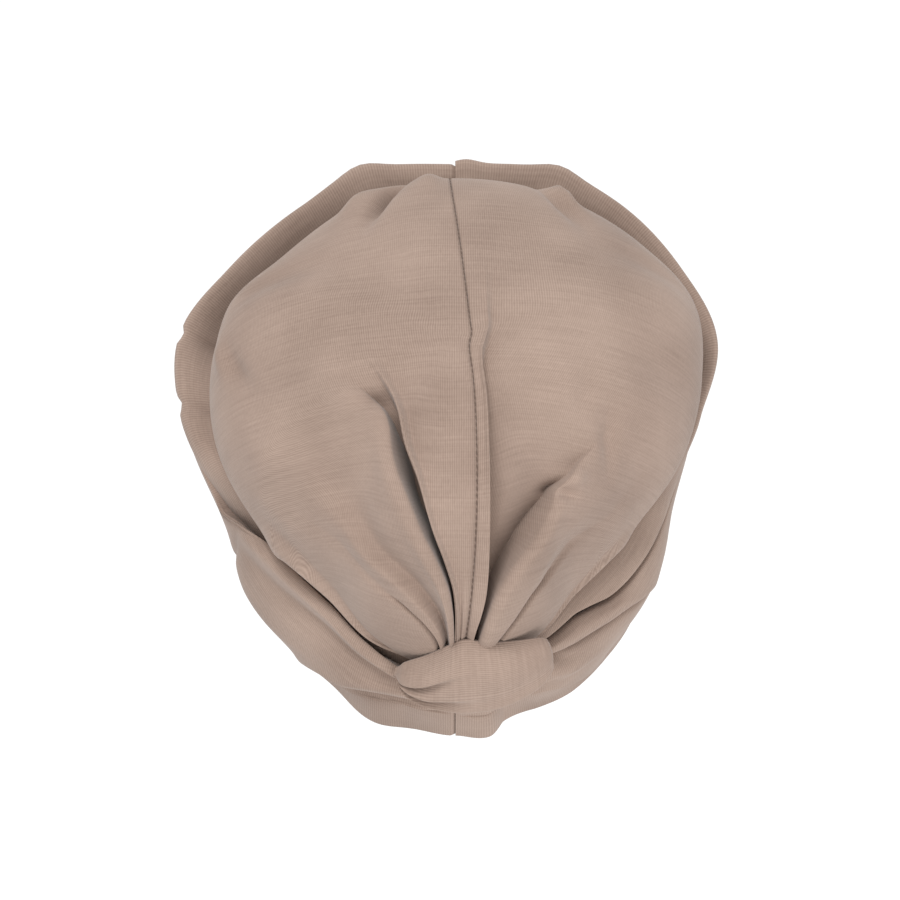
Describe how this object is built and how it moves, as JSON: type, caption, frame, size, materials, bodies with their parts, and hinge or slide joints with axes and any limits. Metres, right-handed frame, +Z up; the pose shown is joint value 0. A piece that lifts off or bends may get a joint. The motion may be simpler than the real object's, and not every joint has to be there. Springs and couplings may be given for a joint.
{
  "type": "turban headwrap",
  "caption": "Soft pleated cloth cap gathered into a wound front knot, with a loose crown over a rolled back.",
  "frame": {"origin": "centre of the head at its widest level, in the hollow, level with the front hem", "axes": "+Z up as worn, -Y toward the knot at the front, +X to the right of a viewer in front"},
  "size_m": [0.2042, 0.2271, 0.164],
  "materials": {
    "jersey": "fine matt knit"
  },
  "bodies": {
    "root": {"crown_left": "jersey", "crown_right": "jersey", "wrap_left": "jersey", "wrap_right": "jersey", "knot": "jersey"}
  },
  "joints": []
}
